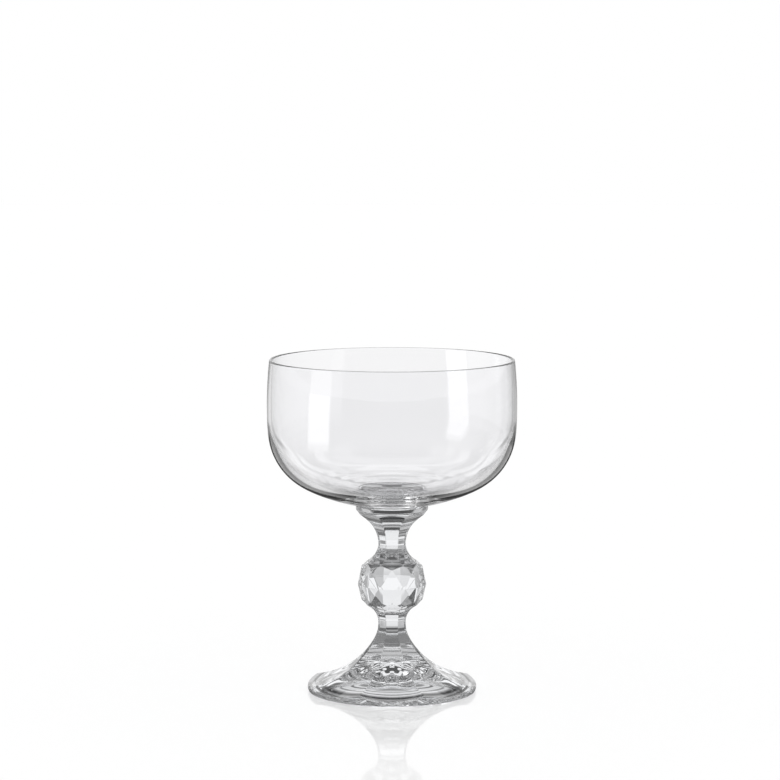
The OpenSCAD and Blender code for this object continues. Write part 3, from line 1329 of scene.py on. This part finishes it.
@dataclass
class Studio:
    """The plain room round the glass: a pale floor, a white background and soft light.

    To the camera, wall and floor are white, and the floor keeps the shadow and a faint mirror
    image of the glass. Glass looks like glass only in a room that has light and dark parts, so what
    is seen through the glass, or mirrored in it, is a photographer's table: a white wall behind
    it that darkens upwards, dark cards beside that wall, a dark room where the camera stands, a
    tall soft lamp on the left, and on the table near the foot a painted shadow of the glass, with
    rings of painted light and shade in it.

    Args:
        distance: How far the camera stands in front of the glass, in metres.
        height: The camera's height above the table, in metres.
        side: How far the camera stands to the side, in metres.
        tilt: How far it looks down, in degrees.
        lens: Its focal length, in millimetres.
        sensor: Width of its sensor, in millimetres.
        sight: How near and how far it sees, in metres.
        wall_through: The wall as seen through the glass.
        wall_mirrored: The wall as mirrored in the glass or inside it.
        floor_through: The floor as seen through the glass, with painted shadow and light of the glass near
            it.
        floor_mirrored: The floor as mirrored in the glass or inside it, with painted shadow and light of the
            glass near it.
        wall_base: Brightness of the wall where there is no zone.
        mirrored_wall: How high the floor mirrors the wall as plain white, in degrees.
        floor_base: Brightness of the floor through the glass where there is no zone.
        mirrored_base: Brightness of the floor mirrored in the glass where there is no zone.
        board: Finish of the floor, as the camera sees it.
        floor_half: Half the floor's width, in metres.
        bounces: How many surfaces of glass light passes.
        glossy_bounces: How often it is mirrored on its way.
        clear_bounces: How many clear surfaces, such as fused joints, it passes.
    """

    distance: float = 1.169844
    height: float = 0.25139
    side: float = -0.0008
    tilt: float = 6.377
    lens: float = 136.92
    sensor: float = 36.0
    sight: tuple[float, float] = (0.05, 20.0)
    wall_through: tuple[Zone, ...] = (
        # The pale wall all round, and the white one behind the glass.
        Zone(0.5, (-90, 24), reach_soft=(1, 5)),
        Zone(0.97, (-90, 8), reach_soft=(1, 2)),
        Zone(0.9, (-90, 40), middle=180, half=28, turn_soft=6, reach_soft=(1, 6)),
        # Cards beside it, which give the faces of the knop and the necks their tones.
        Zone(0.5, (0, 14), middle=156.5, half=3.0, turn_soft=1, reach_soft=(1, 2)),
        Zone(0.7, (0, 14), middle=-156.5, half=3.0, turn_soft=1, reach_soft=(1, 2)),
        *both_sides(Zone(0.5, (0, 24), middle=142.5, half=4.5, turn_soft=2, reach_soft=(1, 4))),
        *both_sides(Zone(0.55, (2, 24), middle=124, half=14, turn_soft=2, reach_soft=(3, 4))),
        Zone(0.75, (3, 7), middle=136, half=5.0, turn_soft=1, reach_soft=(1, 1)),
        Zone(0.12, (13, 30), middle=147, half=14, turn_soft=2, reach_soft=(1, 5)),
        Zone(0.08, (10.5, 30), middle=-147, half=14, turn_soft=2, reach_soft=(1, 5)),
        Zone(0.3, (0, 3.5), middle=143, half=2.5, turn_soft=1, reach_soft=(1, 1)),
        Zone(0.4, (0, 3.5), middle=-152.5, half=3.0, turn_soft=1, reach_soft=(1, 1)),
        Zone(0.38, (13, 22), middle=142, half=2.5, turn_soft=1, reach_soft=(1, 3)),
        Zone(0.38, (13.5, 22), middle=-152, half=2.5, turn_soft=1, reach_soft=(1, 3)),
    )
    wall_mirrored: tuple[Zone, ...] = (
        # The ceiling, the wall behind with its bands, and the lamp on the left.
        Zone(0.2, (26, 60), reach_soft=(4, 8)),
        Zone(0.15, (-90, 20), middle=180, half=62, turn_soft=14, reach_soft=(1, 4)),
        Zone(1.1, (-90, 24), middle=180, half=32, turn_soft=6, reach_soft=(1, 2)),
        Zone(0.1, (13, 17), middle=180, half=62, turn_soft=14, reach_soft=(1, 1)),
        Zone(0.1, (24, 37), middle=180, half=60, turn_soft=20, reach_soft=(2, 2)),
        Zone(1.0, (38, 46), middle=180, half=60, turn_soft=20, reach_soft=(2, 3)),
        Zone(0.55, (50, 66), middle=180, half=110, turn_soft=20, reach_soft=(4, 4)),
        Zone(2.0, (-90, 30), middle=-69.5, half=11.5, reach_soft=(1, 8)),
    )
    floor_through: tuple[Zone, ...] = (
        # Narrow dark strips far off, which show as seams between faces.
        Zone(0.3, (330, 9000), middle=17.0, half=1.8, times=8, turn_soft=2, reach_soft=(60, 1)),
        Zone(0.3, (330, 9000), middle=28.0, half=1.8, times=8, turn_soft=2, reach_soft=(60, 1)),
        # Painted shadow of the glass on the table near it, darkest behind it on both sides, with narrow
        # strips in it and further back.
        Zone(0.85, (-1, 240), reach_soft=(1, 20)),
        *both_sides(Zone(0.6, (-1, 232), middle=150, half=19, turn_soft=2, reach_soft=(1, 10))),
        Zone(0.5, (230, 9000), middle=142.5, half=4.5, turn_soft=2, reach_soft=(10, 1)),
        Zone(0.45, (230, 9000), middle=-142.5, half=4.5, turn_soft=2, reach_soft=(10, 1)),
        Zone(0.2, (450, 9000), middle=137, half=2.5, turn_soft=1, reach_soft=(60, 1)),
        Zone(0.35, (220, 260), middle=160, half=4.5, turn_soft=1.5, reach_soft=(8, 10)),
        Zone(0.3, (235, 265), middle=145.5, half=2.0, turn_soft=1, reach_soft=(5, 10)),
        Zone(0.8, (90, 232), middle=150.5, half=3.0, turn_soft=3, reach_soft=(20, 10)),
        Zone(0.4, (90, 260), middle=156.5, half=3.0, turn_soft=3, reach_soft=(20, 10)),
        Zone(0.65, (170, 232), middle=142.0, half=3.0, turn_soft=1, reach_soft=(10, 10)),
        Zone(0.3, (110, 165), middle=142.0, half=3.0, turn_soft=1, reach_soft=(10, 10)),
        Zone(0.8, (90, 260), middle=-163.5, half=3.5, turn_soft=3, reach_soft=(20, 10)),
        Zone(0.45, (90, 232), middle=-150.5, half=3.0, turn_soft=3, reach_soft=(20, 10)),
        Zone(0.4, (90, 232), middle=-146.0, half=4.0, turn_soft=3, reach_soft=(20, 10)),
        *both_sides(Zone(0.4, (200, 450), middle=124, half=14, turn_soft=2, reach_soft=(20, 60))),
        # Painted shadow round and under the foot, with rings of painted light and shade in it.
        Zone(0.5, (-1, 100), reach_soft=(1, 20)),
        Zone(0.12, (-1, 68), reach_soft=(1, 6)),
        Zone(0.35, (48, 60), middle=180, half=17, turn_soft=4, reach_soft=(2, 3)),
        Zone(0.1, (63, 80), middle=180, half=17, turn_soft=4, reach_soft=(2, 4)),
        Zone(0.3, (-1, 31), reach_soft=(1, 2)),
        Zone(0.6, (31, 37), reach_soft=(2, 3)),
        Zone(0.8, (10, 24.5), reach_soft=(3, 2)),
        Zone(0.15, (14.0, 16.0), reach_soft=(0.8, 0.8)),
        Zone(0.25, (21.0, 22.5), reach_soft=(0.8, 0.8)),
        Zone(0.05, (26.0, 28.5), reach_soft=(1, 1)),
    )
    floor_mirrored: tuple[Zone, ...] = (
        # The dark side where the camera stands, and the lamp on the left.
        Zone(0.08, (150, 9000), middle=-4, half=54, turn_soft=4, reach_soft=(30, 1)),
        Zone(0.8, (150, 9000), middle=-120, half=38, turn_soft=10, reach_soft=(30, 1)),
        Zone(2.2, (300, 9000), middle=-69.5, half=11.5, reach_soft=(120, 1)),
        # The table beside the glass, and what darkens the edge of the bowl's turn.
        Zone(0.7, (60, 150), reach_soft=(60, 30)),
        *both_sides(Zone(0.95, (90, 480), middle=126, half=30, turn_soft=4, reach_soft=(20, 60))),
        *both_sides(Zone(0.09, (100, 700), middle=163.5, half=8.5, turn_soft=6, reach_soft=(10, 200))),
        # Painted shadow round and under the foot, with rings and patches of painted light and shade in it.
        Zone(0.2, (-1, 60), reach_soft=(1, 20)),
        *both_sides(Zone(0.85, (42, 68), middle=58, half=36, turn_soft=6, reach_soft=(2, 4))),
        Zone(0.5, (23, 42), reach_soft=(1.5, 4)),
        Zone(0.06, (28.5, 31.5), reach_soft=(1, 1)),
        Zone(0.9, (24, 26.5), reach_soft=(1, 1)),
        Zone(0.05, (31.5, 41), middle=0, half=96, turn_soft=8, reach_soft=(1, 3)),
    )
    wall_base: float = 0.08
    mirrored_wall: float = 30.0
    floor_base: float = 1.0
    mirrored_base: float = 0.5
    board: LacqueredBoard = LacqueredBoard()
    floor_half: float = 4.0
    bounces: int = 32
    glossy_bounces: int = 16
    clear_bounces: int = 64

    def camera(self) -> None:
        """Sets up the camera where the photograph was taken from.

        Its place, tilt and focal length were fitted to the outline of the glass.
        """
        data = bpy.data.cameras.new("Camera")
        data.lens, data.sensor_width = self.lens, self.sensor
        data.clip_start, data.clip_end = self.sight
        camera = bpy.data.objects.new("Camera", data)
        camera.location = (self.side, -self.distance, self.height)
        camera.rotation_euler = (math.radians(90 - self.tilt), 0.0, 0.0)
        bpy.context.scene.collection.objects.link(camera)
        bpy.context.scene.camera = camera

    @staticmethod
    def lay(
        tree: bpy.types.NodeTree,
        turn: bpy.types.NodeSocket,
        reach: bpy.types.NodeSocket,
        base: float,
        zones: Sequence[Zone],
    ) -> bpy.types.NodeSocket:
        """Lays zones over a base brightness, each over the ones before it.

        Args:
            tree: The material's or world's tree.
            turn: Azimuth in degrees.
            reach: Degrees above the table, or millimetres from the glass.
            base: Brightness where there is no zone.
            zones: The zones.

        Returns:
            The brightness.
        """
        level: bpy.types.NodeSocket | float = base
        for zone in zones:
            # Each edge: what it is measured in, its place, its width, and the share before it.
            edges = [
                (reach, zone.reach[0], zone.reach_soft[0], 0.0),
                (reach, zone.reach[1], zone.reach_soft[1], 1.0),
            ]
            if zone.half is not None:
                off = add_node(tree, "ShaderNodeMath", {0: turn, 1: zone.middle}, operation="SUBTRACT")
                away = add_node(
                    tree, "ShaderNodeMath", {0: off.outputs[0], 1: 180 / zone.times}, operation="PINGPONG"
                )
                edges.append((away.outputs[0], zone.half, zone.turn_soft, 1.0))
            share: bpy.types.NodeSocket | float = 1.0
            for value, place, soft, before in edges:
                low, high = place - soft / 2, place + soft / 2
                edge = add_node(
                    tree,
                    "ShaderNodeMapRange",
                    {
                        "Value": value,
                        "From Min": low,
                        "From Max": high,
                        "To Min": before,
                        "To Max": 1 - before,
                    },
                    interpolation_type="SMOOTHSTEP",
                )
                both = add_node(tree, "ShaderNodeMath", {0: edge.outputs[0], 1: share}, operation="MULTIPLY")
                share = both.outputs[0]
            laid = add_node(tree, "ShaderNodeMix", {0: share, 2: level, 3: zone.level}, data_type="FLOAT")
            level = laid.outputs[0]
        return level

    @staticmethod
    def azimuth(
        tree: bpy.types.NodeTree, x: bpy.types.NodeSocket, y: bpy.types.NodeSocket
    ) -> bpy.types.NodeSocket:
        """Adds the nodes for an azimuth, from the camera's side to the right.

        Args:
            tree: The material's or world's tree.
            x: How far to the right.
            y: How far back.

        Returns:
            The azimuth in degrees.
        """
        front = add_node(tree, "ShaderNodeMath", {0: y, 1: -1.0}, operation="MULTIPLY")
        turn = add_node(tree, "ShaderNodeMath", {0: x, 1: front.outputs[0]}, operation="ARCTAN2")
        return add_node(tree, "ShaderNodeMath", {0: turn.outputs[0]}, operation="DEGREES").outputs[0]

    def floor(self) -> None:
        """Makes the pale floor, which keeps the glass's shadow and a faint mirror image of it.

        The camera sees the lacquered board. Seen through the glass, or mirrored in it, the floor
        has zones instead, by azimuth and by distance from the glass; near the foot these are painted
        shadow and painted light of the glass.
        """
        mesh = bpy.data.meshes.new("Floor")
        half = self.floor_half
        corners = [(-half, -half, 0), (half, -half, 0), (half, half, 0), (-half, half, 0)]
        mesh.from_pydata(corners, [], [(0, 1, 2, 3)])
        floor = bpy.data.objects.new("Floor", mesh)
        bpy.context.scene.collection.objects.link(floor)
        made = bpy.data.materials.new(self.board.name)
        made.use_nodes = True
        tree = made.node_tree
        tree.nodes.clear()
        place = add_node(tree, "ShaderNodeTexCoord")
        part = add_node(tree, "ShaderNodeSeparateXYZ", {0: place.outputs["Object"]})
        turn = self.azimuth(tree, part.outputs["X"], part.outputs["Y"])
        length = add_node(tree, "ShaderNodeVectorMath", {0: place.outputs["Object"]}, operation="LENGTH")
        away = add_node(tree, "ShaderNodeMath", {0: length.outputs["Value"], 1: 1 / MM}, operation="MULTIPLY")
        reach = away.outputs[0]
        path = add_node(tree, "ShaderNodeLightPath")
        # What the glass shows of the floor only glows: near the foot its zones paint the glass's shadow and
        # the light it bends.
        through = self.lay(tree, turn, reach, self.floor_base, self.floor_through)
        mirrored = self.lay(tree, turn, reach, self.mirrored_base, self.floor_mirrored)
        bounced = add_node(
            tree, "ShaderNodeMath", {0: path.outputs["Glossy Depth"], 1: ONCE}, operation="GREATER_THAN"
        )
        level = add_node(
            tree, "ShaderNodeMix", {0: bounced.outputs[0], 2: through, 3: mirrored}, data_type="FLOAT"
        )
        seen = self.board.shader(tree, reach)
        shown = add_node(tree, "ShaderNodeEmission", {"Color": WHITE, "Strength": level.outputs[0]})
        both = add_node(
            tree, "ShaderNodeMixShader", {0: path.outputs["Is Camera Ray"], 1: shown.outputs[0], 2: seen}
        )
        add_node(tree, "ShaderNodeOutputMaterial", {"Surface": both.outputs[0]})
        mesh.materials.append(made)
        floor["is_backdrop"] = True

    def room(self) -> None:
        """Makes the world: white to the camera, and a room with light and dark parts for the glass.

        The parts are zones, by azimuth and by height in degrees above the table.
        """
        world = bpy.data.worlds.new("Studio")
        world.use_nodes = True
        bpy.context.scene.world = world
        tree = world.node_tree
        tree.nodes.clear()
        place = add_node(tree, "ShaderNodeTexCoord")
        part = add_node(tree, "ShaderNodeSeparateXYZ", {0: place.outputs["Generated"]})
        turn = self.azimuth(tree, part.outputs["X"], part.outputs["Y"])
        lift = add_node(tree, "ShaderNodeMath", {0: part.outputs["Z"]}, operation="ARCSINE")
        rise = add_node(tree, "ShaderNodeMath", {0: lift.outputs[0]}, operation="DEGREES").outputs[0]
        path = add_node(tree, "ShaderNodeLightPath")
        through = self.lay(tree, turn, rise, self.wall_base, self.wall_through)
        mirrored = self.lay(tree, turn, rise, self.wall_base, self.wall_mirrored)
        bounced = add_node(
            tree, "ShaderNodeMath", {0: path.outputs["Glossy Depth"], 1: ONCE}, operation="GREATER_THAN"
        )
        glassy = add_node(
            tree, "ShaderNodeMix", {0: bounced.outputs[0], 2: through, 3: mirrored}, data_type="FLOAT"
        )
        # What lights the floor, and the low wall that the floor mirrors, are plain white.
        high = add_node(tree, "ShaderNodeMath", {0: rise, 1: self.mirrored_wall}, operation="GREATER_THAN")
        lamp = add_node(
            tree, "ShaderNodeMath", {0: high.outputs[0], 1: bounced.outputs[0]}, operation="MULTIPLY"
        )
        deep = path.outputs["Transmission Depth"]
        depth = add_node(tree, "ShaderNodeMath", {0: lamp.outputs[0], 1: deep}, operation="ADD")
        direct = add_node(tree, "ShaderNodeMath", {0: depth.outputs[0], 1: ONCE}, operation="LESS_THAN")
        plain = add_node(
            tree,
            "ShaderNodeMath",
            {0: direct.outputs[0], 1: path.outputs["Diffuse Depth"]},
            operation="MAXIMUM",
            use_clamp=True,
        )
        level = add_node(
            tree, "ShaderNodeMix", {0: plain.outputs[0], 2: glassy.outputs[0], 3: 1.0}, data_type="FLOAT"
        )
        sky = add_node(tree, "ShaderNodeBackground", {"Color": WHITE, "Strength": level.outputs[0]})
        add_node(tree, "ShaderNodeOutputWorld", {"Surface": sky.outputs[0]})

    def build(self) -> None:
        """Sets up camera, floor and room, and lets light pass many surfaces of glass.

        On its way through the knop or the foot light meets many of them, and where it ended too
        early the glass would turn black.
        """
        self.camera()
        self.floor()
        self.room()
        scene = bpy.context.scene
        scene.view_settings.view_transform = "Standard"
        scene.cycles.max_bounces = self.bounces
        scene.cycles.transmission_bounces = self.bounces
        scene.cycles.glossy_bounces = self.glossy_bounces
        scene.cycles.transparent_max_bounces = self.clear_bounces


def check_closed() -> None:
    """Stops the script if a piece has an open edge or is inside out.

    Raises:
        ValueError: If one of them has or is.
    """
    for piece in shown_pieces():
        mesh = piece.data
        used: dict[tuple[int, int], int] = {}
        for polygon in mesh.polygons:
            for key in polygon.edge_keys:
                used[key] = used.get(key, 0) + 1
        loose = sum(1 for n in used.values() if n != 2)
        mesh.calc_loop_triangles()
        corners = ([mesh.vertices[v].co for v in t.vertices] for t in mesh.loop_triangles)
        volume = sum(a.dot(b.cross(c)) for a, b, c in corners) / 6
        log.info("%s: %d open edges, %.0f mm3", piece.name, loose, volume / MM**3)
        if loose or volume <= 0:
            raise ValueError(f"{piece.name} isn't a closed skin that faces outwards")


def main() -> None:
    """Builds the glass and its studio.

    The first box is that of the CAD model, the second that of the finished pieces.
    """
    logging.basicConfig(level=logging.INFO, format="%(message)s")
    shop = Workshop()
    for part in (Bowl(), Collar(), UpperStem(), Knop(), LowerStem(), Foot()):
        part.build(shop)
    check_closed()
    Studio().build()


if __name__ == "__main__":
    main()
